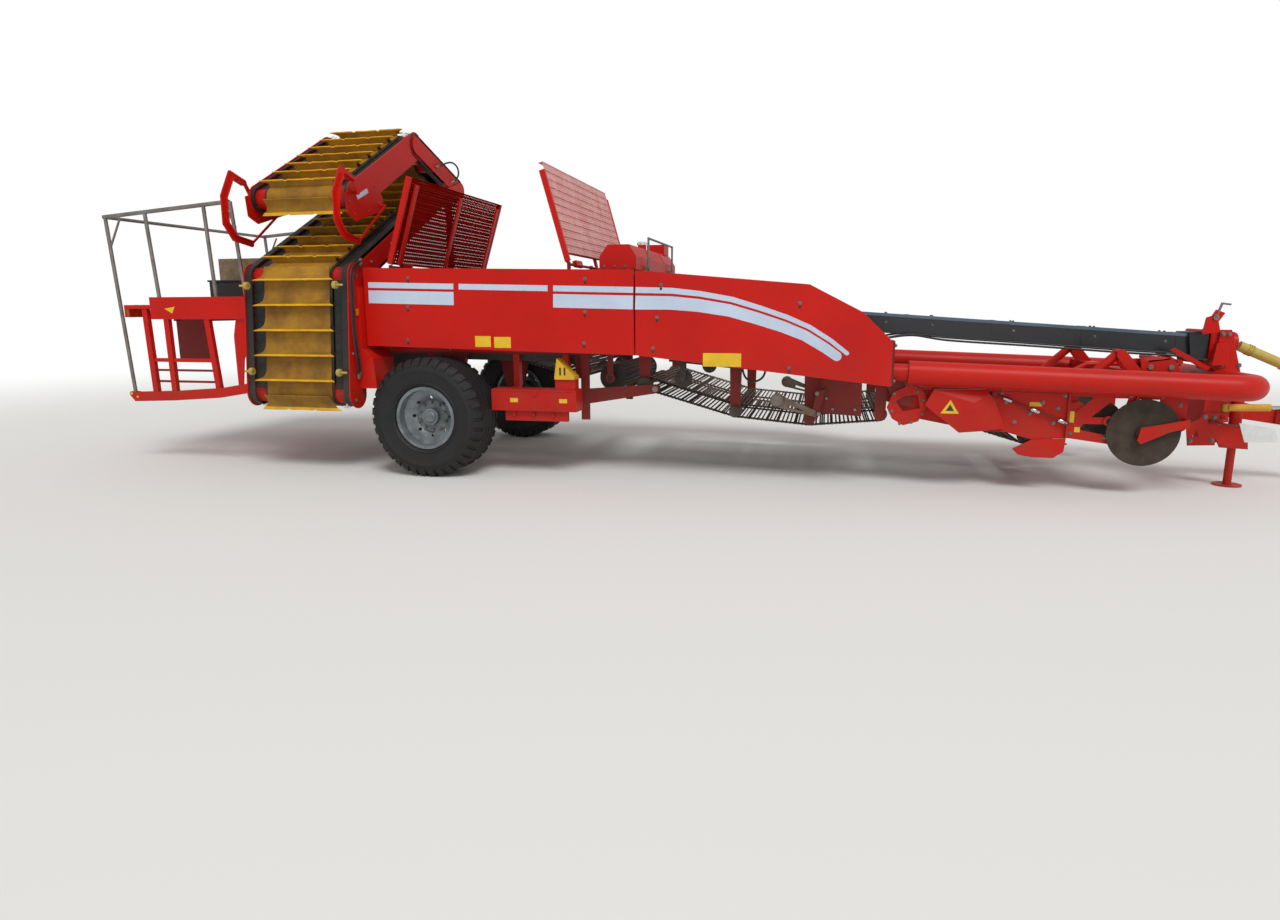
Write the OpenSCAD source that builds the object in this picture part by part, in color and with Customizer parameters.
// Trailed two-row potato harvester, drawn parked on its wheels and its jack.
// Axle frame: x runs forward from the axle, y to the left side, z up from the ground, in millimetres.

/* [Wheels] */
// Outer radius of a tyre at its lugs
tyre_r = 585; // [560:5:610]
// Width of a tyre
tyre_w = 500; // [460:10:520]
// Height of the tread lugs
lug_h = 12; // [8:1:20]
// Lugs on each shoulder of a tyre
lug_count = 20; // [14:1:26]
// Thickness of the tyre's wall
tyre_wall = 34; // [26:2:44]
// Radius of the rim's bead seat
rim_r = 286; // [270:2:300]
// Distance between the centres of the two tyres
track = 2500; // [2460:10:2560]
// Radius of the stub axle
stub_r = 45; // [36:1:55]
// Radius of the hub
hub_r = 118; // [100:2:130]

/* [Main frame] */
// Outer width over the two main rails
rail_span = 1880; // [1840:10:1900]
// Width of a main rail
rail_w = 100; // [80:5:120]
// Height of a main rail
rail_h = 160; // [120:10:200]
// Height of the main rails' underside over the ground
rail_z = 1180; // [1150:10:1200]
// Rear end of the main rails
rail_x0 = -2300; // [-2400:10:-2250]
// Front end of the main rails
rail_x1 = 4350; // [4300:10:4400]
// Thickness of the side walls
wall_t = 8; // [5:1:12]
// Width and height of the axle beam
axle_beam = 140; // [120:5:160]

/* [Side covers] */
// Distance of the cover sheets from the middle of the machine
cover_y = 1250; // [1245:1:1280]
// Thickness of a cover sheet
cover_t = 6; // [4:1:10]
// Depth of the edge that is folded inward
cover_lip = 30; // [20:1:40]
// Rear end of the rear covers
cover_x0 = -700; // [-720:5:-680]
// Seam between the rear and the front covers
seam_x = 2050; // [2000:5:2100]
// Gap between two covers
seam_gap = 16; // [12:1:24]
// Height of the covers' hinge line
cover_hinge_z = 1960; // [1950:1:1970]
// Radius of the covers' hinge pins
cover_pin_r = 8; // [6:1:9]

/* [Elevator] */
// Rear face of the elevator's side plates
elev_x0 = -1920; // [-1925:1:-1910]
// Front face of the elevator's side plates
elev_x1 = -750; // [-760:1:-745]
// Thickness of the elevator's side plates
elev_t = 10; // [6:1:12]
// Width of the elevator belts
belt_w = 780; // [740:10:800]
// Half the distance between the two runs of a belt
belt_d = 100; // [90:2:110]
// Thickness of a belt
belt_t = 12; // [8:1:16]
// Width of a paddle at its lip
paddle_w = 900; // [860:10:920]
// Height of a paddle over its belt
paddle_h = 88; // [70:2:92]
// Distance between two paddles along a belt
paddle_pitch = 215; // [200:5:260]
// Side clearance between two nested elevator sections
nest_gap = 8; // [6:1:10]
// Radius of the elevator's fold pins
fold_pin_r = 30; // [24:1:34]

/* [Catwalks] */
// Half the width of a catwalk panel
catwalk_half = 1130; // [1080:5:1135]
// Length of a catwalk panel from its hinge to its free edge
catwalk_l = 890; // [850:5:900]
// Number of planks in a panel
plank_count = 6; // [5:1:7]
// Thickness of a panel
catwalk_t = 44; // [36:2:50]
// Height of the catwalk hinges
catwalk_z = 2040; // [2036:1:2050]
// Radius of the catwalk hinge rods
catwalk_pin_r = 13; // [10:1:15]

/* [Front frame] */
// Radius of the front frame's tubes
tube_r = 108; // [95:1:112]
// Distance of the tubes from the middle of the machine
tube_y = 1000; // [985:5:1010]
// Height of the tubes' axis at their rear end
tube_z = 1060; // [1050:5:1070]
// Front end of the frame, at the axis of its cross tube
frame_x = 7296; // [7270:2:7310]
// Fall of the front frame in degrees
frame_fall = 2; // [1:0.5:3]
// Radius of the bends at the front corners
bend_r = 230; // [200:10:260]

/* [Intake] */
// Height of the intake's pivot
intake_z = 790; // [780:5:800]
// Distance of the intake's pivot from the axle
intake_x = 4500; // [4490:5:4520]
// Distance of the intake's side plates from the middle of the machine
intake_y = 880; // [860:5:890]
// Thickness of the intake's side plates
intake_t = 12; // [8:1:16]
// Radius of a disc coulter
disc_r = 290; // [270:5:295]
// Thickness of a disc coulter
disc_t = 8; // [6:1:12]

/* [Drawbar] */
// Distance of the drawbar's pivot from the axle
pivot_x = 7400; // [7380:5:7420]
// Height of the drawbar's middle at its pivot
pivot_z = 690; // [670:5:700]
// Radius of the drawbar's pivot pin
pivot_r = 40; // [32:1:46]
// Distance from the axle to the middle of the hitch eye
eye_x = 8430; // [8400:10:8500]
// Height of the hitch eye
eye_z = 520; // [500:5:560]
// Radius of the hitch eye's bore
eye_r = 25; // [20:0.5:30]
// Outer radius of the hitch eye
eye_ring_r = 62; // [54:1:70]
// Thickness of the hitch eye
eye_t = 42; // [36:1:50]
// Radius of the drive shaft's splined bore
pto_r = 17.5; // [16:0.5:22]

/* [Jack] */
// Distance of the jack from the axle
jack_x = 7445; // [7440:5:7460]
// Distance of the jack from the middle of the machine, to the right
jack_y = 250; // [240:5:260]
// Radius of the jack's leg
jack_r = 34; // [28:1:38]
// Radius of the jack's foot
foot_r = 115; // [100:5:130]

/* [Rear platform] */
// Rear edge of the platform
deck_x0 = -3540; // [-3580:10:-3480]
// Front edge of the platform
deck_x1 = -1995; // [-2010:5:-1980]
// Half the width of the platform
deck_half = 1290; // [1250:5:1300]
// Height of the platform's floor
deck_z = 1680; // [1640:10:1700]
// Height of the top rail's front end over the floor
rail_over = 1020; // [980:10:1060]
// Radius of the railing's tubes
post_r = 21; // [17:1:25]
// Fall of the top rail from its front end to its rear end
rail_drop = 110; // [80:5:140]

/* [Hidden] */
$fn = 48;
clear = 0.5;
proud = 1;
wheel_z = tyre_r;
side_y = rail_span / 2;
rail_y = side_y - rail_w;
rail_top = rail_z + rail_h;
wall_y = side_y + wall_t;
wall_top = 1930;
wall_foot = rail_z + 20;
shell_y = cover_y - cover_t;
tyre_in = track / 2 - tyre_w / 2;
lug_r = tyre_r - lug_h;
flange_r = rim_r + 20;

elev_mid = (elev_x0 + elev_x1) / 2;
elev_in = (elev_x1 - elev_x0) / 2 - elev_t;
mid_in = elev_in - nest_gap - elev_t;
tip_in = mid_in - nest_gap - elev_t;
plate_half = belt_d - 8;
leg_half = 145;
tip_half = 145;
elev_foot = [-1390, 800];
elev_bend = [-1290, 1940];
elev_head = [430, 2839];
knuckle = [1180, 3080];
knee = [130, 3420];
tip = [-1150, 2720];
mid_len = 700;
mid_dir = (knee - knuckle) / norm(knee - knuckle);
mid_end = knuckle + mid_len * mid_dir;

upper_y = 1180;
upper_w = 70;
upper_z = 1880;
upper_h = 60;
upper_top = upper_z + upper_h;
cross_h = 50;
cover_hinge_y = cover_y - 28;
cover_knuckle_r = cover_pin_r + 8;
rear_hinges = [[100, 260], [1200, 1360], [2420, 2580]];
front_hinges = [[120, 280], [1250, 1410]];
front_hinge_drop = 8;
rear_cover = [[cover_x0, 1270], [cover_x0, 2030], [seam_x - seam_gap / 2, 1975], [seam_x - seam_gap / 2, 1200]];
front_cover = [
    [seam_x + seam_gap / 2, 1200], [seam_x + seam_gap / 2, 1970], [3620, 1830],
    [4080, 1590], [4340, 1340], [4340, 950]
];
slope_a = atan2(1970 - 1830, 3620 - seam_x);

rear_walk_x = -480;
front_walk_x = 1380;
rear_walk_a = 72.4;
front_walk_a = 105.9;

main_web = [[4290, 650], [3650, 590], [2950, 650], [2060, 900]];
rear_web = [[1400, 1000], [600, 1215], [-800, 1300]];
drum_x = 1710;
drum_z = 950;
cross_web = [[800, 900], [-1070, 900]];
web_half = 790;
web_d = 58;
web_t = 10;
web_pitch = 92;
shaft_r = 25;
hang_y = 850;
box_top = 860;
chock_z = 960;
hang_t = 12;
tension_y = 912;

beam_r = 30;
ear_y = intake_y + 8;
lift_y = 700;
lift_top = [6280, 1230];
lift_eye = [5930, 890];
lift_r = 45;
lift_rod_r = 20;
steer_base = [7262, -440];
steer_eye = [7900, -300];
steer_z = 740;
steer_r = 34;
steer_rod_r = 16;
cross_x = rail_x1 + 20 + (frame_x - rail_x1 - 20) * cos(frame_fall);
cross_z = tube_z - (frame_x - rail_x1 - 20) * sin(frame_fall);
tower_x0 = cross_x - 95;
seat = 0.3;
shaft_a = [pivot_x + 100, 0, 1270];
shaft_b = [eye_x - 60, 0, 880];
shaft_dir = (shaft_b - shaft_a) / norm(shaft_b - shaft_a);
disc_x = 6470;
disc_z = 560;
arm_x = 6800;
roller_x = 6200;
roller_z = 650;

jack_top = 900;
rail_ends = [[-3700, deck_z + rail_over - rail_drop], [-2150, deck_z + rail_over]];
tail_x = rail_ends[0][0] - post_r;
sill_top = 750;
bracket_face = 7218;
nose_x = eye_x + eye_ring_r;
origin_x = (tail_x + nose_x) / 2;

red = "#b9201b";
dark_red = "#861a18";
yellow = "#d2a21c";
black = "#1b1c1e";
silver = "#b4bbbd";
steel = "#77787a";

// Moves a piece from the axle frame to the middle of the whole machine
module placed() {
    translate([-origin_x, 0, 0]) children();
}

// Underside of the drive line's guard at a place along the machine
function guard_under(x) = 1420 + (1180 - 1420) * (x - 3750) / (tower_x0 - seat - 3750);

// Underside of the drive shaft's guard at a place along the machine
function shaft_under(x) = shaft_a[2] + (x - shaft_a[0]) * shaft_dir[2] / shaft_dir[0] - 45 / shaft_dir[0] - seat;

// Box between two values on each axis
module block(x, y, z) {
    translate([x[0], y[0], z[0]]) cube([x[1] - x[0], y[1] - y[0], z[1] - z[0]]);
}

// Plate with its outline in x and z, between two values of y
module plate_y(y, points) {
    translate([0, y[1], 0]) rotate([90, 0, 0]) linear_extrude(y[1] - y[0]) polygon(points);
}

// Plate with its outline in y and z, between two values of x
module plate_x(x, points) {
    translate([x[0], 0, 0]) rotate([90, 0, 90]) linear_extrude(x[1] - x[0]) polygon(points);
}

// Plate with its outline in x and y, between two values of z
module plate_z(z, points) {
    translate([0, 0, z[0]]) linear_extrude(z[1] - z[0]) polygon(points);
}

// Puts a child that points up at a point, pointing to another
module aimed(p, q) {
    v = q - p;
    translate(p) rotate([0, acos(v[2] / norm(v)), atan2(v[1], v[0])]) children();
}

// Round bar between two points
module bar(p, q, r) {
    aimed(p, q) cylinder(r = r, h = norm(q - p));
}

// Cylinder along y between two values
module pin_y(x, z, y, r) {
    translate([x, y[1], z]) rotate([90, 0, 0]) cylinder(r = r, h = y[1] - y[0]);
}

// Cylinder along x between two values
module pin_x(y, z, x, r) {
    translate([x[0], y, z]) rotate([0, 90, 0]) cylinder(r = r, h = x[1] - x[0]);
}

// The piece and its twin on the left side
module both_sides() {
    children();
    mirror([0, 1, 0]) children();
}

// Band drawn flat along a path, with round ends and corners of radius d that stand a little proud
module band_shape(path, d) {
    half = d - proud;
    for (i = [1 : len(path) - 1]) {
        run = path[i] - path[i - 1];
        translate(path[i - 1]) rotate(atan2(run[1], run[0])) translate([0, -half]) square([norm(run), 2 * half]);
    }
    for (p = path) translate(p) circle(r = d);
}

// Solid band
module chain(path, d, w) {
    linear_extrude(w) band_shape(path, d);
}

// Closed loop of a belt
module loop(path, d, t, w) {
    linear_extrude(w) difference() {
        band_shape(path, d + t);
        band_shape(path, d);
    }
}

// Direction from one point to another
function heading(p, q) = atan2(q[1] - p[1], q[0] - p[0]);

// Children repeated along both runs of a loop, pointing outward, with both ends of a run kept free
module along(path, d, pitch, inset) {
    for (i = [1 : len(path) - 1], side = [-1, 1]) {
        span = norm(path[i] - path[i - 1]) - 2 * inset;
        count = ceil(span / pitch);
        for (k = [0 : count])
            translate([path[i - 1][0], path[i - 1][1], 0]) rotate(heading(path[i - 1], path[i]))
                translate([inset + k * span / count, side * d, 0]) rotate(side < 0 ? 180 : 0) children();
    }
}

// Children round a point at a distance, pointing outward, one for each direction
module fan(p, d, directions) {
    for (a = directions) translate([p[0], p[1], 0]) rotate(a - 90) translate([0, d, 0]) children();
}

// Turns a drawing of y and z into its place across x, starting at x
module across_x(x) {
    translate([x, 0, 0]) rotate([90, 0, 90]) children();
}

// Turns a drawing of x and z into its place across y, ending at y
module across_y(y) {
    translate([0, y, 0]) rotate([90, 0, 0]) children();
}

// Sieve web: edge belts and a middle belt with rods across them
module web(path, half) {
    strap = 70;
    rod_r = 8;
    for (y = [-half, -strap / 2, half - strap])
        across_y(y + strap) loop(path, web_d, web_t, strap);
    across_y(half) along(path, web_d + web_t / 2, web_pitch, 30)
        cylinder(r = rod_r, h = 2 * half, $fn = 6);
}

// One lug, across a shoulder from near the middle of the tread to the side wall
module lug() {
    sink = 10;
    lug_l = 78;
    lug_in = 150;
    lug_out = tyre_w / 2;
    plate_z([lug_in, lug_out], [
        [lug_r - sink, -lug_l / 2], [tyre_r, -lug_l / 2 + 8], [tyre_r, lug_l / 2 - 8], [lug_r - sink, lug_l / 2]
    ]);
}

// Tyre on its own axis
module tyre_shape() {
    half = tyre_w / 2;
    bead = half - 47;
    shoulder = 60;
    difference() {
        union() {
            rotate_extrude() polygon([
                [rim_r, -bead], [flange_r + 4, -bead], [flange_r + 26, -half + 8], [lug_r - 90, -half], [lug_r - shoulder, -half + 6],
                [lug_r, -half + shoulder], [lug_r, half - shoulder], [lug_r - shoulder, half - 6],
                [lug_r - 90, half], [flange_r + 26, half - 8], [flange_r + 4, bead], [rim_r, bead]
            ]);
            for (i = [0 : lug_count - 1]) rotate(i * 360 / lug_count) {
                lug();
                rotate(180 / lug_count) mirror([0, 0, 1]) lug();
            }
        }
        rotate_extrude() polygon([
            [rim_r - 1, -bead + tyre_wall], [lug_r - 70, -half + tyre_wall],
            [lug_r - tyre_wall, -half + shoulder + 14], [lug_r - tyre_wall, half - shoulder - 14],
            [lug_r - 70, half - tyre_wall], [rim_r - 1, bead - tyre_wall]
        ]);
    }
}

// Rim on its own axis, dished towards the inner side, with its hub
module rim_shape() {
    half = tyre_w / 2 - 47;
    barrel_t = 12;
    disc_z = 40;
    difference() {
        union() {
            rotate_extrude() polygon([
                [rim_r - barrel_t, -half - 12], [flange_r, -half - 12], [flange_r, -half],
                [rim_r, -half], [rim_r, half], [flange_r, half], [flange_r, half + 12], [rim_r - barrel_t, half + 12]
            ]);
            rotate_extrude() polygon([
                [80, disc_z], [170, disc_z], [215, disc_z + 34], [rim_r - barrel_t, disc_z + 60],
                [rim_r - barrel_t, disc_z + 74], [210, disc_z + 48], [165, disc_z + 14], [80, disc_z + 14]
            ]);
            translate([0, 0, -130]) cylinder(r = hub_r, h = 130 + disc_z + 5);
            translate([0, 0, disc_z]) cylinder(r = 82, h = 70);
        }
        translate([0, 0, -131]) cylinder(r = stub_r + clear, h = 161);
        for (i = [0 : 7]) rotate(i * 45) translate([190, 0, disc_z - 10]) cylinder(r = 16, h = 90);
    }
}

// Puts a wheel piece on the right end of the axle
module right_wheel() {
    translate([0, -track / 2, wheel_z]) rotate([90, 0, 0]) children();
}

module tyre_right() {
    color(black) placed() right_wheel() tyre_shape();
}

module tyre_left() {
    color(black) placed() mirror([0, 1, 0]) right_wheel() tyre_shape();
}

module rim_right() {
    color(silver) placed() right_wheel() rim_shape();
}

module rim_left() {
    color(silver) placed() mirror([0, 1, 0]) right_wheel() rim_shape();
}

// Main rails with their end ties, roller hangers, drum bearings and intake ears
module main_frame() {
    color(red) placed() {
        for (x = [rail_x0, rail_x1 - 100]) block([x, x + 100], [-rail_y, rail_y], [rail_z, rail_top]);
        plate_y([-40, 40], [
            [rail_x1 - 90, rail_top], [rail_x1 - 90, guard_under(rail_x1 - 90)],
            [rail_x1 - 10, guard_under(rail_x1 - 10)], [rail_x1 - 10, rail_top]
        ]);
        both_sides() {
            block([rail_x0, rail_x1], [-side_y, -rail_y], [rail_z, rail_top]);
            block([rail_x1, rail_x1 + 20], [-tube_y - 120, -rail_y], [tube_z - 110, rail_top]);
            for (p = concat(main_web, [rear_web[0]]))
                plate_y([-hang_y - hang_t, -hang_y], [
                    [p[0] - 60, rail_z], [p[0] - 45, p[1] - 45], [p[0] + 45, p[1] - 45], [p[0] + 60, rail_z]
                ]);
            plate_y([-ear_y - 20, -ear_y], [
                [rail_x1 - 200, rail_z], [rail_x1, rail_z], [intake_x + 60, intake_z + 30],
                [intake_x + 60, intake_z - 30], [intake_x + 20, intake_z - 50], [intake_x - 60, intake_z - 30]
            ]);
            pin_y(intake_x, intake_z, [-ear_y - 1, -intake_y + intake_t + 2], beam_r);
            difference() {
                union() {
                    block([drum_x - 30, drum_x + 30], [-hang_y - hang_t, -hang_y], [drum_z, rail_z]);
                    pin_y(drum_x, drum_z, [-hang_y - hang_t - 10, -hang_y], 48);
                }
                pin_y(drum_x, drum_z, [-hang_y - hang_t - 11, -hang_y + 1], shaft_r + clear);
            }
            block([1430, 1510], [-side_y, -side_y + 40], [540, rail_z]);
            plate_y([-side_y, -side_y + 12], [[1500, 850], [2180, 905], [2215, 860], [2180, 815], [1500, 700]]);
            pin_y(2180, 860, [-side_y - 6, -side_y + 70], 38);
            plate_y([-tension_y, -tension_y + 12], [[3760, rail_z], [4110, rail_z], [4120, 640], [3740, 660]]);
            plate_y([-tension_y - 56, -tension_y + 12], [[3670, 660], [3710, 870], [3790, 890], [3730, 620]]);
        }
    }
}

// Walls beside the sieve channel, on the outer sides of the main rails
module side_walls() {
    wall = [
        [cover_x0, wall_foot], [cover_x0, wall_top], [seam_x, wall_top - 40], [3600, 1780],
        [4050, 1540], [4300, rail_top], [4300, wall_foot]
    ];
    holes = [[200, 900], [1300, 1900], [2300, 3000], [3250, 3750]];
    low = rail_top + 50;
    high = 1620;
    corner = 60;
    color(red) placed() both_sides() difference() {
        plate_y([-wall_y, -side_y], wall);
        for (h = holes) plate_y([-wall_y - 1, -side_y + 1], [
            [h[0] + corner, low], [h[1] - corner, low], [h[1], low + corner], [h[1], high - corner],
            [h[1] - corner, high], [h[0] + corner, high], [h[0], high - corner], [h[0], low + corner]
        ]);
    }
}

// Box tubes across the sieve channel, between the walls
module wall_ties() {
    color(dark_red) placed() for (x = [-600, 1400, 3300]) block([x, x + 100], [-side_y, side_y], [1600, 1700]);
}

// Axle beam with its hangers and stub axles
module axle_beam() {
    half = axle_beam / 2;
    color(dark_red) placed() {
        block([-half, half], [-side_y, side_y], [wheel_z - half, wheel_z + half]);
        both_sides() {
            plate_y([-side_y, -side_y + 60], [
                [-half - 20, wheel_z], [-220, rail_z], [220, rail_z], [half + 20, wheel_z]
            ]);
            pin_y(0, wheel_z, [-track / 2 + 110, -side_y + 1], stub_r);
        }
    }
}

// Rails that carry the covers, the catwalks and the tank
module upper_frame() {
    drop = upper_z - 1750;
    color(dark_red) placed() {
        both_sides() {
            block([cover_x0, seam_x], [-upper_y, -upper_y + upper_w], [upper_z, upper_top]);
            plate_y([-upper_y, -upper_y + upper_w], [
                [seam_x, upper_z], [seam_x, upper_top], [3580, upper_top - drop - 6], [3580, upper_z - drop - 6]
            ]);
            for (x = [cover_x0, 640, seam_x - 50])
                block([x, x + 50], [-upper_y + upper_w, -wall_y], [upper_z, upper_z + 40]);
            block([3530, 3580], [-upper_y + upper_w, -wall_y], [upper_z - drop, upper_z - drop + 40]);
        }
        for (x = [rear_walk_x - 30, front_walk_x - 30, 1610, 1890])
            block([x, x + 60], [-1150, 1150], [upper_top, upper_top + cross_h]);
        for (x = [rear_walk_x, front_walk_x]) {
            pin_y(x, catwalk_z, [-1110, 1110], catwalk_pin_r);
            for (y = [-1110, -370, 350, 1090])
                block([x - 16, x + 16], [y, y + 20], [upper_top + cross_h, catwalk_z + 20]);
        }
        both_sides() {
            on_level_hinge() cover_pins(rear_hinges, cover_hinge_z - upper_top);
            on_sloped_hinge() cover_pins(front_hinges, cover_hinge_z - upper_top - front_hinge_drop);
        }
    }
}

// Children along the rear cover's hinge line on the right side
module on_level_hinge() {
    translate([cover_x0, -cover_hinge_y, cover_hinge_z]) children();
}

// Children along the front cover's hinge line, which falls to the front
module on_sloped_hinge() {
    translate([seam_x, -cover_hinge_y, cover_hinge_z - front_hinge_drop]) rotate([0, slope_a, 0]) children();
}

// Hinge pins between ears that stand on the upper rail
module cover_pins(places, height) {
    for (h = places) {
        pin_x(0, 0, h, cover_pin_r);
        for (x = [h[0], h[1] - 12])
            block([x, x + 12], [-10, cover_hinge_y - upper_y + 20], [-height, 10]);
    }
}

// Knuckles of a cover's hinge, which carry its sheet
module cover_knuckles(places) {
    for (h = places) difference() {
        union() {
            pin_x(0, 0, [h[0] + 17, h[1] - 17], cover_knuckle_r);
            block([h[0] + 17, h[1] - 17], [-(shell_y - cover_hinge_y) - 1, 0], [-cover_knuckle_r, 0]);
        }
        pin_x(0, 0, h, cover_pin_r + clear);
    }
}

// Oil tank under a chamfered hood with its filler
module oil_tank() {
    base = upper_top + cross_h;
    color(red) placed() {
        plate_y([-1000, 1000], [
            [1650, base], [1650, base + 120], [1730, base + 230], [1940, base + 230], [2010, base + 120], [2010, base]
        ]);
        translate([1840, 0, base + 230]) cylinder(r = 45, h = 60);
        block([1750, 1950], [640, 900], [base + 230, base + 330]);
    }
}

// Children in the tilted plane of the front frame, with x from its rear end
module in_front_frame() {
    translate([rail_x1 + 20, 0, tube_z]) rotate([0, frame_fall, 0]) children();
}

// Round tubes with bent corners and a cross tube
module front_frame() {
    run = frame_x - rail_x1 - 20;
    neck = 130;
    color(red) placed() difference() {
        both_sides() in_front_frame() rotate([0, 90, 0]) translate([0, -tube_y, 0]) cylinder(r = 78, h = neck + 40);
        block([rail_x1 - 10, rail_x1 + 20 + seat], [-1200, 1200], [900, 1200]);
    }
    color(red) placed() in_front_frame() {
        both_sides() {
            translate([neck, -tube_y, 0]) rotate([0, 90, 0]) cylinder(r = tube_r, h = run - bend_r - neck);
            translate([run - bend_r, -tube_y + bend_r, 0]) rotate(-90)
                rotate_extrude(angle = 90) translate([bend_r, 0]) circle(r = tube_r);
        }
        translate([run, 0, 0]) rotate([90, 0, 0])
            cylinder(r = tube_r, h = 2 * (tube_y - bend_r), center = true);
    }
    color(red) placed() {
        block([lift_top[0] + 60, lift_top[0] + 180], [-tube_y, tube_y], [960, 1080]);
        both_sides() for (y = [-lift_y - lift_r - 26, -lift_y + lift_r + 6]) plate_y([y, y + 20], [
            [lift_top[0] - 30, lift_top[1] - 30], [lift_top[0] - 30, lift_top[1] + 30], [lift_top[0] + 30, lift_top[1] + 30],
            [lift_top[0] + 180, 1080], [lift_top[0] + 60, 1080]
        ]);
        both_sides() pin_y(lift_top[0], lift_top[1], [-lift_y - lift_r - 8, -lift_y + lift_r + 8], 16);
    }
}

// Plates behind and under the cross tube that hold the drawbar's pin, the steering cylinder and the jack
module pivot_bracket() {
    face = bracket_face;
    side = [[6957, 581], [7049, 633], [7110, 700], [7203, 700], [7203, 406], [6987, 396]];
    slot = [[7018, 478], [7080, 478], [7039, 550]];
    shield = [[7240, 520], [7280, 570], [7480, 550], [7530, 500], [7550, 350], [7320, 360]];
    color(red) placed() difference() {
        union() {
            block([face - 130, face], [-480, 480], [560, cross_z]);
            for (z = [pivot_z - 130, pivot_z + 90])
                plate_z([z, z + 40], [
                    [face, -170], [pivot_x + 20, -85], [pivot_x + 80, -40], [pivot_x + 80, 40],
                    [pivot_x + 20, 85], [face, 170]
                ]);
            both_sides() plate_y([-90, -70], [
                [face, pivot_z + 130], [pivot_x + 10, pivot_z + 130], [pivot_x - 40, cross_z - 60], [face, cross_z - 20]
            ]);
            both_sides() difference() {
                plate_y([-492, -480], side);
                plate_y([-493, -479], slot);
            }
            translate([pivot_x, 0, pivot_z - 150]) cylinder(r = pivot_r, h = 300);
            translate([jack_x, -jack_y, 380]) cylinder(r = jack_r + 16, h = 450);
            block([face - 90, jack_x], [-jack_y - 20, -jack_y + 20], [400, 540]);
            block([face - 90, face], [-jack_y - 20, -jack_y + 20], [400, 560]);
            plate_y([-jack_y - 62, -jack_y - 48], shield);
            for (z = [steer_z - steer_r - 26, steer_z + steer_r + 6])
                plate_z([z, z + 20], [
                    [face, steer_base[1] - 40], [steer_base[0] + 30, steer_base[1] - 30],
                    [steer_base[0] + 30, steer_base[1] + 30], [face, steer_base[1] + 40]
                ]);
            translate([steer_base[0], steer_base[1], steer_z - steer_r - 8]) cylinder(r = 14, h = 2 * steer_r + 16);
        }
        translate([jack_x, -jack_y, 379]) cylinder(r = jack_r + clear, h = jack_top);
        pin_y(cross_x, cross_z, [-500, 500], tube_r + seat);
    }
}

// Gearbox in its frame on the front cross tube, with the cone round its output
module gearbox_tower() {
    color(red) placed() {
        difference() {
            for (y = [-190, 160]) plate_y([y, y + 30], [
                [tower_x0 + 45, cross_z + 20], [tower_x0 + 60, 1420], [tower_x0 + 150, 1420], [tower_x0 + 280, cross_z + 20]
            ]);
            pin_y(cross_x, cross_z, [-500, 500], tube_r + seat);
        }
        block([tower_x0, tower_x0 + 190], [-160, 160], [1150, 1400]);
        pin_x(0, 1300, [tower_x0 + 189, pivot_x + 30], 30);
        difference() {
            pin_x(0, 1300, [tower_x0 + 189, pivot_x + 60], 90);
            pin_x(0, 1300, [tower_x0 + 205, pivot_x + 70], 82);
        }
    }
}

// Long guard over the drive line in the middle
module driveline_guard() {
    color(black) placed() plate_y([-110, 110], [
        [3750, 1420], [3750, 1610], [tower_x0 - seat, 1370], [tower_x0 - seat, 1180]
    ]);
}

module sieve_web() {
    color(black) placed() web(main_web, web_half);
}

module rear_web() {
    color(black) placed() web(rear_web, web_half);
}

// Rollers inside the webs with their shafts
module sieve_rollers() {
    color(steel) placed() {
        for (p = concat(main_web, [rear_web[0]])) {
            pin_y(p[0], p[1], [-hang_y, hang_y], shaft_r);
            for (y = [-web_half, -35, web_half - 70]) pin_y(p[0], p[1], [y, y + 70], web_d);
        }
        for (p = [rear_web[1], rear_web[2]]) {
            pin_y(p[0], p[1], [-rail_y, rail_y], shaft_r);
            for (y = [-web_half, -35, web_half - 70]) pin_y(p[0], p[1], [y, y + 70], web_d);
        }
        both_sides() difference() {
            union() {
                plate_y([-tension_y - 68, -tension_y - 56], [[3350, 840], [3710, 690], [3710, 630], [3330, 720]]);
                pin_y(3350, 780, [-tension_y - 90, -tension_y - 20], 62);
            }
            plate_y([-tension_y - 69, -tension_y - 55], [[3450, 740], [3580, 700], [3590, 680], [3450, 715]]);
        }
    }
}

// Belt across the rear that feeds the elevator
module cross_conveyor() {
    color(black) placed() {
        across_x(elev_mid - 430) loop(cross_web, 60, 10, 860);
        for (x = [elev_mid - 450, elev_mid + 430]) block([x, x + 20], [-side_y, side_y], [830, rail_z]);
    }
}

// Tool box with a lower plate and the seat of the wheel chock
module tool_box() {
    color(red) placed() {
        block([605, 1470], [-1240, -1020], [650, box_top]);
        block([730, 1370], [-1200, -1150], [550, 650]);
        block([1250, 1450], [-1200, -1080], [box_top, chock_z]);
        for (x = [720, 1240]) block([x, x + 60], [-1020, -side_y + rail_w - 20], [box_top - 60, box_top]);
        for (x = [720, 1240]) block([x, x + 60], [-side_y + 10, -rail_y - 10], [box_top, rail_z]);
    }
}

module wheel_chock() {
    color(yellow) placed() plate_y([-1220, -1070], [
        [1250, chock_z], [1250, chock_z + 30], [1275, chock_z + 200], [1450, chock_z + 30], [1450, chock_z]
    ]);
}

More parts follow.
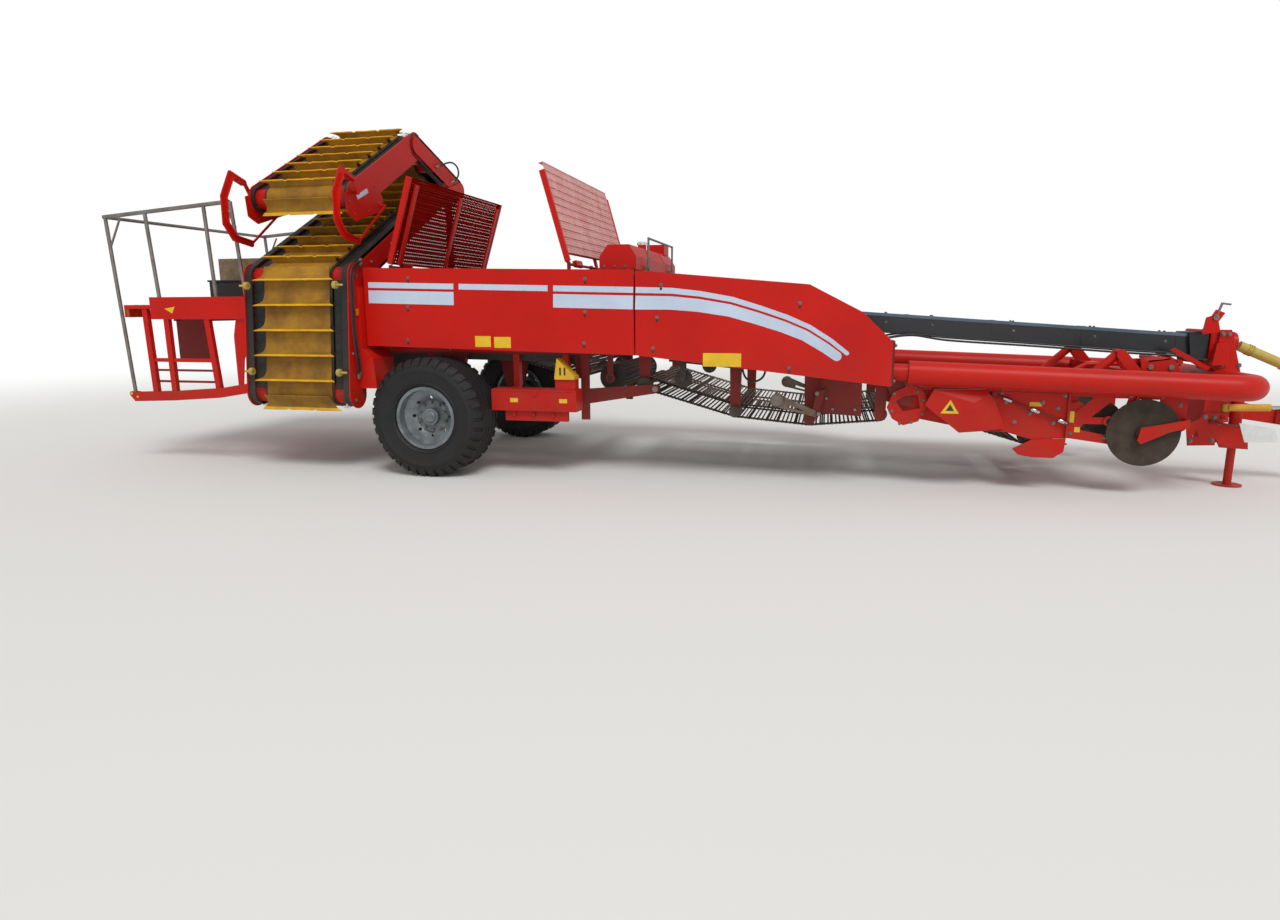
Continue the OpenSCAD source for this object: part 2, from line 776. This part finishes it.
// Side plates and rollers of the elevator's fixed section
module elevator_lower_frame() {
    color(red) placed() {
        for (x = [elev_x0, elev_x1 - elev_t]) {
            across_x(x) linear_extrude(elev_t) {
                band_shape([elev_foot, elev_bend], leg_half);
                band_shape([elev_bend, elev_head, knuckle], plate_half);
            }
            plate_x([x, x + elev_t], [
                [elev_foot[0] + 60, 980], [-side_y, rail_z], [-side_y, rail_top], [elev_foot[0] + 60, 1480]
            ]);
        }
        for (p = [elev_foot, elev_bend, elev_head])
            pin_x(p[0], p[1], [elev_x0 + elev_t, elev_x1 - elev_t], belt_d);
        pin_x(knuckle[0], knuckle[1], [elev_x0 + elev_t, elev_x0 + elev_t + nest_gap + elev_t - 1], fold_pin_r);
        pin_x(knuckle[0], knuckle[1], [elev_x1 - 2 * elev_t - nest_gap + 1, elev_x1 - elev_t], fold_pin_r);
        for (x = [elev_x0 + elev_t, elev_x1 - elev_t - 60])
            block([x, x + 60], [rail_y + 20, rail_y + 80], [rail_top, 2960]);
        plate_y([-1340, -wall_y - 1], [
            [elev_x1, 850], [elev_x1, 1840], [cover_x0 - 10, 1840], [cover_x0 - 10, 1240], [-600, 1150], [-570, 850]
        ]);
    }
}

// Paddle across a belt, seen from its foot, with two notches in its lip
module paddle() {
    foot = belt_w / 2 - 20;
    lip = paddle_w / 2;
    thick = 8;
    notch = [[170, 0], [150, 16], [130, 0]];
    side = concat([[foot, 0], [lip, paddle_h - 24], [lip, paddle_h - 10]], [for (n = notch) [n[0], paddle_h - n[1]]]);
    turned = [for (i = [len(side) - 1 : -1 : 0]) [-side[i][0], side[i][1]]];
    translate([-thick / 2, 0, belt_w / 2]) rotate([0, 90, 0]) linear_extrude(thick) polygon(concat(side, turned));
}

// Elevator belt with its paddles, also round its ends and on the outer side of its bends
module paddle_belt(path) {
    d = belt_d + belt_t - 3 * proud;
    last = len(path) - 1;
    end_fan = [-49, 49];
    across_x(elev_mid - belt_w / 2) {
        loop(path, belt_d, belt_t, belt_w);
        along(path, d, paddle_pitch, 120) paddle();
        fan(path[0], d, end_fan + [for (a = end_fan) heading(path[1], path[0])]) paddle();
        fan(path[last], d, end_fan + [for (a = end_fan) heading(path[last - 1], path[last])]) paddle();
        for (i = [1 : 1 : last - 1])
            fan(path[i], d, [(heading(path[i - 1], path[i]) + heading(path[i], path[i + 1])) / 2 + 90]) paddle();
    }
}

module elevator_lower_belt() {
    color(yellow) placed() paddle_belt([elev_foot, elev_bend, elev_head]);
}

// Side plates of a folding section, at a distance from the elevator's middle
module section_plates(path, inner, half) {
    for (x = [elev_mid - inner - elev_t, elev_mid + inner])
        across_x(x) chain(path, half, elev_t);
}

module elevator_mid_frame() {
    color(red) placed() {
        difference() {
            section_plates([knuckle, mid_end, knee], mid_in, plate_half);
            pin_x(knuckle[0], knuckle[1], [elev_x0, elev_x1], fold_pin_r + clear);
        }
        for (p = [knuckle, mid_end]) pin_x(p[0], p[1], [elev_mid - mid_in, elev_mid + mid_in], belt_d);
        pin_x(knee[0], knee[1], [elev_mid - mid_in - 1, elev_mid - tip_in - 1], fold_pin_r);
        pin_x(knee[0], knee[1], [elev_mid + tip_in + 1, elev_mid + mid_in + 1], fold_pin_r);
    }
}

module elevator_mid_belt() {
    color(yellow) placed() paddle_belt([knuckle, mid_end]);
}

module elevator_tip_frame() {
    color(red) placed() {
        difference() {
            section_plates([knee, tip], tip_in, tip_half);
            pin_x(knee[0], knee[1], [elev_x0, elev_x1], fold_pin_r + clear);
        }
        for (p = [knee, tip]) pin_x(p[0], p[1], [elev_mid - tip_in, elev_mid + tip_in], belt_d);
    }
}

module elevator_tip_belt() {
    color(yellow) placed() paddle_belt([knee, tip]);
}

// Cheek plates of the discharge end and the bowed arms that guard it
module elevator_guard_arms() {
    cheek = [[-1340, 2730], [-800, 2910], [-650, 2760], [-650, 2640], [-1180, 2480], [-1320, 2540]];
    arm = [[-1270, 2870], [-1460, 2930], [-1590, 2700], [-1595, 2450], [-1490, 2320], [-1240, 2280]];
    stay = [-690, 2680];
    arm_half = 30;
    reach = elev_in + elev_t + 18;
    color(red) placed() for (s = [-1, 1]) {
        x = elev_mid + s * reach;
        plate_x(s > 0 ? [elev_mid + tip_in + elev_t, elev_mid + tip_in + elev_t + 8]
            : [elev_mid - tip_in - elev_t - 8, elev_mid - tip_in - elev_t], cheek);
        across_x(x - 6) chain(arm, arm_half, 12);
        across_x(x - 6) chain([arm[0], [-1190, 2750]], 24, 12);
        across_x(x - 6) chain([arm[5], stay], 12, 12);
        for (q = [[-1190, 2750], stay])
            pin_x(q[0], q[1], s > 0 ? [elev_mid + tip_in + elev_t + 7, x] : [x, elev_mid - tip_in - elev_t - 7], 16);
    }
}

// Catwalk panel lying forward from its hinge, with planks and knuckles
module catwalk_panel() {
    plank = catwalk_l / plank_count;
    gap = 12;
    hinge_r = catwalk_pin_r + 9;
    for (i = [0 : plank_count - 1])
        block([30 + i * plank, 30 + (i + 1) * plank - gap - (i == plank_count - 1 ? 30 : 0)],
            [-catwalk_half, catwalk_half], [-catwalk_t / 2, catwalk_t / 2]);
    for (y = [-catwalk_half + 100, -40, catwalk_half - 160])
        block([40, catwalk_l - 60], [y, y + 60], [-catwalk_t / 2 - 24, -catwalk_t / 2]);
    for (y = [-900, 700]) difference() {
        union() {
            pin_y(0, 0, [y, y + 200], hinge_r);
            block([0, 40], [y, y + 200], [-hinge_r, hinge_r]);
        }
        pin_y(0, 0, [y - 1, y + 201], catwalk_pin_r + clear);
    }
}

module catwalk_rear() {
    color(dark_red) placed() translate([rear_walk_x, 0, catwalk_z]) rotate([0, -rear_walk_a, 0]) catwalk_panel();
}

module catwalk_front() {
    color(red) placed() translate([front_walk_x, 0, catwalk_z]) rotate([0, -front_walk_a, 0])
        mirror([0, 0, 1]) catwalk_panel();
}

// Cover sheet with its folded edges, on the right side
module cover_sheet(points, lips) {
    plate_y([-cover_y, -shell_y], points);
    for (i = lips) {
        p = points[i];
        q = points[(i + 1) % len(points)];
        translate([p[0], -shell_y - 1, p[1]]) rotate([0, -atan2(q[1] - p[1], q[0] - p[0]), 0])
            translate([3, 0, -8]) cube([norm(q - p) - 6, cover_lip, 5]);
    }
}

module rear_cover_shape() {
    cover_sheet(rear_cover, [3]);
    on_level_hinge() cover_knuckles(rear_hinges);
}

module cover_right_rear() {
    color(red) placed() rear_cover_shape();
}

module cover_left_rear() {
    color(red) placed() mirror([0, 1, 0]) rear_cover_shape();
}

module front_cover_shape() {
    cover_sheet(front_cover, [4, 5]);
    on_sloped_hinge() cover_knuckles(front_hinges);
}

module cover_right_front() {
    color(red) placed() front_cover_shape();
}

module cover_left_front() {
    color(red) placed() mirror([0, 1, 0]) front_cover_shape();
}

// Frame of the rear platform
module platform_frame() {
    band = 150;
    deep_x = -3210;
    low = deck_z - band;
    sill = [
        [-3600, sill_top], [-3600, 720], [-3540, 650], [-3020, 670], [-2460, 710], [-2030, 780],
        [-2030, 880], [-2460, 810], [-3020, 770], [-3520, sill_top]
    ];
    posts = [[-3300, -3330], [-3060, -3070], [-2500, -2580]];
    gusset = [[-2190, low + 1], [deck_x1, low + 1], [deck_x1, 1420], [-2130, 1120], [-2170, 840], [-2230, 830], [-2230, 1360]];
    color(red) placed() {
        difference() {
            block([deck_x0, deck_x1], [-deck_half, deck_half], [low, deck_z]);
            block([deck_x0 + 50, deck_x1 - 50], [-deck_half + 50, deck_half - 50], [low - 1, deck_z - 12]);
            block([deck_x0 - 1, deep_x], [-deck_half - 1, deck_half + 1], [low - 1, deck_z - 40]);
        }
        for (x = [rail_x0, deep_x]) block([x, x + 100], [-deck_half + 50, deck_half - 50], [low, deck_z - 12]);
        both_sides() {
            block([deep_x, deck_x1], [-deck_half, -deck_half + 10], [deck_z, deck_z + 80]);
            plate_y([-deck_half, -deck_half + 80], sill);
            for (p = posts) plate_y([-deck_half + 10, -deck_half + 60], [
                [p[0], 740], [p[0] + 60, 740], [p[1] + 60, deck_z - 20], [p[1], deck_z - 20]
            ]);
            block([-3300, -2470], [-deck_half + 20, -deck_half + 50], [1080, 1120]);
            plate_y([-deck_half + 20, -deck_half + 30], gusset);
            block([rail_x0, rail_x0 + 100], [-side_y, -rail_y], [rail_top, low]);
        }
    }
}

// Post of the railing with its foot plate, between two places in x and z
module rail_post(foot, top) {
    y = -deck_half + 40;
    plate = 6;
    bar([foot[0], y, foot[1] + plate - 3], [top[0], y, top[1]], post_r - 2);
    block([foot[0] - 38, foot[0] + 38], [y - 29, y + 29], [foot[1], foot[1] + plate]);
}

// Railing round the platform, with a rear post that comes up from the sill
module railing() {
    a = rail_ends[0];
    b = rail_ends[1];
    bases = [[-3110, -3180], [-2410, -2460], [-2050, -2140]];
    color(steel) placed() {
        both_sides() {
            rail_post([-3560, sill_top], [a[0] + 20, a[1] + 1]);
            for (x = bases) rail_post([x[0], deck_z], [x[1], a[1] + (b[1] - a[1]) * (x[1] - a[0]) / (b[0] - a[0])]);
            bar([a[0], -deck_half + 40, a[1]], [b[0], -deck_half + 40, b[1]], post_r);
        }
        pin_y(a[0] + 20, a[1] - 3, [-deck_half + 40, deck_half - 40], post_r - 3);
    }
}

// Rear lamps and side reflectors
module lamps() {
    color("orange") placed() {
        both_sides() block([deck_x0 - 60, deck_x0], [-deck_half + 60, -deck_half + 320], [deck_z - 130, deck_z - 30]);
        block([elev_x1 + 1, cover_x0 - 12], [-1352, -1340], [1560, 1640]);
    }
}

module haulm_drum() {
    color(black) placed() {
        pin_y(drum_x, drum_z, [-760, 760], 115);
        pin_y(drum_x, drum_z, [-hang_y - hang_t, hang_y + hang_t], shaft_r);
    }
}

// Cut that slopes a face at y back towards the middle, outward from the line between two points
module bevel(y, p, q, angle) {
    translate([p[0], y, p[1]]) rotate([0, -heading(p, q), 0]) rotate([-angle, 0, 0])
        translate([-400, -300, 0]) cube([1200, 300, 600]);
}

// Side plates with their struts, pivot cheeks, chain guards, coulter arms and the cross beam of the intake
module intake_frame() {
    side = [
        [intake_x - 90, intake_z - 60], [intake_x - 60, 880], [intake_x + 60, 915], [4700, 905], [5840, 890], [arm_x, 872],
        [arm_x, 590], [6710, 540], [6630, 560], [6400, 470], [6270, 440], [5890, 490], [5590, 470], [5370, 530],
        [5170, 530], [intake_x + 60, 640]
    ];
    windows = [
        [[5905, 700], [6085, 860], [5880, 862]],
        [[6060, 680], [6185, 800], [6200, 850], [6340, 850], [6305, 700], [6300, 680]],
        [[6005, 620], [6270, 620], [6232, 515], [5965, 570]],
        [[6425, 845], [6585, 845], [6600, 690], [6400, 650], [6385, 700]]
    ];
    cheek = [
        [4340, 730], [4390, 870], [4530, 940], [4640, 900], [4680, 830], [4680, 730], [4620, 610], [4490, 570], [4390, 630]
    ];
    cheek_hole = [[4420, 790], [4490, 840], [4600, 850], [4630, 730], [4480, 700]];
    guard = [[4660, 770], [4730, 912], [5170, 912], [5250, 830], [5350, 570], [4960, 530]];
    guard_y = -1020;
    coulter_arm = [[6410, 500], [6430, 610], [6620, 650], [arm_x - 10, 690], [arm_x, 620], [6650, 580], [6440, 470]];
    stub_y = -intake_y - 80;
    color(red) placed() {
        both_sides() {
            difference() {
                plate_y([-intake_y, -intake_y + intake_t], side);
                for (w = windows) plate_y([-intake_y - 1, -intake_y + intake_t + 1], w);
                pin_y(intake_x, intake_z, [-intake_y - 1, -intake_y + intake_t + 1], beam_r + clear);
                pin_y(roller_x, roller_z, [-intake_y - 1, -intake_y + intake_t + 1], shaft_r + clear);
            }
            difference() {
                plate_y([-intake_y - 52, -intake_y - 40], cheek);
                plate_y([-intake_y - 53, -intake_y - 39], cheek_hole);
            }
            for (p = [[4570, 885], [4585, 680]]) pin_y(p[0], p[1], [-intake_y - 42, -intake_y], 14);
            difference() {
                plate_y([guard_y, -intake_y], guard);
                bevel(guard_y, [4730, 902], [5070, 802], 27);
                bevel(guard_y, [5070, 802], [5150, 532], 20);
            }
            difference() {
                pin_y(roller_x, roller_z, [-intake_y - 18, -intake_y], 45);
                pin_y(roller_x, roller_z, [-intake_y - 19, -intake_y + 1], shaft_r + clear);
            }
            pin_y(disc_x, disc_z, [stub_y + 1, -intake_y], 20);
            plate_y([stub_y - 15, stub_y + 2], coulter_arm);
            block([arm_x - 28, arm_x], [stub_y, -intake_y + intake_t], [620, 690]);
            for (y = [-lift_y - lift_rod_r - 30, -lift_y + lift_rod_r + 14]) plate_y([y, y + 16], [
                [lift_eye[0] - 50, 800], [lift_eye[0] - 26, lift_eye[1] + 20], [lift_eye[0] + 26, lift_eye[1] + 20],
                [lift_eye[0] + 50, 800]
            ]);
            pin_y(lift_eye[0], lift_eye[1], [-lift_y - lift_rod_r - 30, -lift_y + lift_rod_r + 30], 14);
        }
        block([lift_eye[0] - 60, lift_eye[0] + 60], [-intake_y + intake_t, intake_y - intake_t], [720, 800]);
    }
}

// Web of the intake with its two rollers
module intake_web() {
    path = [[5560, 480], [intake_x, intake_z]];
    half = intake_y - intake_t - 60;
    color(black) placed() {
        web(path, half);
        for (p = path) {
            for (y = [-half, -35, half - 70]) pin_y(p[0], p[1], [y, y + 70], web_d + 1);
            pin_y(p[0], p[1], [-half - 50, half + 50], shaft_r);
        }
    }
}

// Blades that cut under the two ridges, on bars between the side plates
module intake_shares() {
    bar_z = 400;
    color(steel) placed() {
        block([5640, 5700], [-intake_y, intake_y], [bar_z, bar_z + 30]);
        both_sides() plate_y([-intake_y - 20, -intake_y], [
            [5440, 380], [5590, 468], [5870, 488], [5860, 370], [5780, 310], [5600, 310], [5490, 330]
        ]);
        for (y = [-800, -410, 20, 410]) plate_z([bar_z - 12, bar_z], [
            [5640, y], [5640, y + 370], [5800, y + 370], [5960, y + 185], [5800, y]
        ]);
    }
}

// Two waisted rollers on one shaft, one over each ridge
module diablo_rollers() {
    roll_l = 640;
    end_r = 150;
    waist_r = 95;
    color(black) placed() {
        pin_y(roller_x, roller_z, [-intake_y - 12, intake_y + 12], shaft_r);
        for (y = [-750, 110]) translate([roller_x, y, roller_z]) rotate([-90, 0, 0]) rotate_extrude() polygon([
            [0, 0], [end_r - 14, 0], [end_r, 20], [end_r, 90], [waist_r, roll_l / 2],
            [end_r, roll_l - 90], [end_r, roll_l - 20], [end_r - 14, roll_l], [0, roll_l]
        ]);
    }
}

// Disc coulter outside the intake's side plate
module disc_shape() {
    color(steel) placed() difference() {
        union() {
            pin_y(disc_x, disc_z, [-intake_y - 34, -intake_y - 34 + disc_t], disc_r);
            pin_y(disc_x, disc_z, [-intake_y - 68, -intake_y - 6], 62);
        }
        pin_y(disc_x, disc_z, [-intake_y - 69, -intake_y - 5], 20 + clear);
    }
}

module disc_right() {
    disc_shape();
}

module disc_left() {
    mirror([0, 1, 0]) disc_shape();
}

// Children along a lift cylinder, with z from its upper pin to its rod's eye
module on_lift() {
    both_sides() aimed([lift_top[0], -lift_y, lift_top[1]], [lift_eye[0], -lift_y, lift_eye[1]]) children();
}

module lift_barrels() {
    barrel_l = 380;
    color(red) placed() on_lift() difference() {
        union() {
            translate([0, 0, 30]) cylinder(r = lift_r - 5, h = barrel_l - 30);
            rotate([90, 0, 0]) translate([0, 0, -lift_r]) cylinder(r = 34, h = 2 * lift_r);
        }
        rotate([90, 0, 0]) translate([0, 0, -lift_r - 1]) cylinder(r = 16 + clear, h = 2 * lift_r + 2);
        translate([0, 0, 60]) cylinder(r = lift_rod_r + clear, h = barrel_l);
    }
}

module lift_rods() {
    reach = norm(lift_top - lift_eye);
    color(silver) placed() on_lift() {
        translate([0, 0, 150]) cylinder(r = lift_rod_r, h = reach - 30 - 150);
        translate([0, 0, reach]) rotate([90, 0, 0]) difference() {
            cylinder(r = 33, h = 2 * lift_rod_r + 6, center = true);
            cylinder(r = 24, h = 3 * lift_rod_r, center = true);
        }
    }
}

// Steered drawbar with its hitch eye, steering arm and shaft post
module drawbar() {
    arm_z = steer_z - 34;
    post_x = 8000;
    color(red) placed() difference() {
        union() {
            translate([pivot_x, 0, pivot_z - 85]) cylinder(r = 90, h = 170);
            plate_y([-70, 70], [
                [pivot_x, pivot_z - 80], [pivot_x, pivot_z + 80], [pivot_x + 95, pivot_z + 80], [eye_x - 50, eye_z + 40],
                [eye_x - 50, eye_z - 40], [pivot_x + 95, pivot_z - 80]
            ]);
            translate([eye_x, 0, eye_z - eye_t / 2]) cylinder(r = eye_ring_r, h = eye_t);
            plate_z([arm_z - 16, arm_z], [
                [steer_eye[0] - 60, -60], [steer_eye[0] - 34, steer_eye[1] - 30],
                [steer_eye[0] + 34, steer_eye[1] - 30], [steer_eye[0] + 60, -60]
            ]);
            block([steer_eye[0] - 60, steer_eye[0] + 60], [-90, -60], [560, arm_z]);
            translate([steer_eye[0], steer_eye[1], arm_z - 1]) cylinder(r = 12, h = 60);
            plate_y([-12, 12], [
                [post_x - 30, 580], [post_x - 20, shaft_under(post_x - 20)],
                [post_x + 20, shaft_under(post_x + 20)], [post_x + 30, 580]
            ]);
        }
        translate([pivot_x, 0, pivot_z - 90]) cylinder(r = pivot_r + clear, h = 180);
        translate([eye_x, 0, eye_z - eye_t]) cylinder(r = eye_r, h = 2 * eye_t);
    }
}

// Drive shaft in its guard tube, with the splined bore that takes the tractor's stub
module drive_shaft() {
    yoke_l = 120;
    color(yellow) placed() difference() {
        union() {
            bar(shaft_a, shaft_b, 45);
            bar(shaft_b - shaft_dir, shaft_b + yoke_l * shaft_dir, 32);
        }
        bar(shaft_b + (yoke_l - 90) * shaft_dir, shaft_b + (yoke_l + 1) * shaft_dir, pto_r);
    }
}

// Children along the steering cylinder, with z from its base pin to its rod's eye
module on_steering() {
    aimed([steer_base[0], steer_base[1], steer_z], [steer_eye[0], steer_eye[1], steer_z]) children();
}

module steering_barrel() {
    barrel_l = 400;
    color(yellow) placed() difference() {
        union() {
            on_steering() translate([0, 0, 20]) cylinder(r = steer_r - 2, h = barrel_l - 20);
            translate([steer_base[0], steer_base[1], steer_z - steer_r]) cylinder(r = 28, h = 2 * steer_r);
        }
        translate([steer_base[0], steer_base[1], steer_z - steer_r - 1]) cylinder(r = 14 + clear, h = 2 * steer_r + 2);
        on_steering() translate([0, 0, 50]) cylinder(r = steer_rod_r + clear, h = barrel_l);
    }
}

module steering_rod() {
    reach = norm(steer_eye - steer_base);
    color(silver) placed() {
        on_steering() translate([0, 0, 210]) cylinder(r = steer_rod_r, h = reach - 36 - 210);
        translate([steer_eye[0], steer_eye[1], steer_z - steer_rod_r - 4]) difference() {
            cylinder(r = 42, h = 2 * steer_rod_r + 8);
            translate([0, 0, -1]) cylinder(r = 31, h = 4 * steer_rod_r);
        }
    }
}

module jack_leg() {
    color(red) placed() translate([jack_x, -jack_y, 0]) {
        cylinder(r = foot_r, h = 14);
        cylinder(r = jack_r, h = jack_top - 120);
    }
}

main_frame();
side_walls();
wall_ties();
axle_beam();
upper_frame();
oil_tank();
front_frame();
pivot_bracket();
gearbox_tower();
driveline_guard();
sieve_web();
rear_web();
sieve_rollers();
cross_conveyor();
tool_box();
wheel_chock();
elevator_lower_frame();
elevator_lower_belt();
platform_frame();
railing();
lamps();
tyre_right();
rim_right();
tyre_left();
rim_left();
cover_right_rear();
cover_right_front();
cover_left_rear();
cover_left_front();
catwalk_rear();
catwalk_front();
elevator_mid_frame();
elevator_mid_belt();
elevator_tip_frame();
elevator_tip_belt();
elevator_guard_arms();
haulm_drum();
intake_frame();
intake_web();
intake_shares();
diablo_rollers();
disc_right();
disc_left();
lift_barrels();
lift_rods();
drawbar();
drive_shaft();
steering_barrel();
steering_rod();
jack_leg();
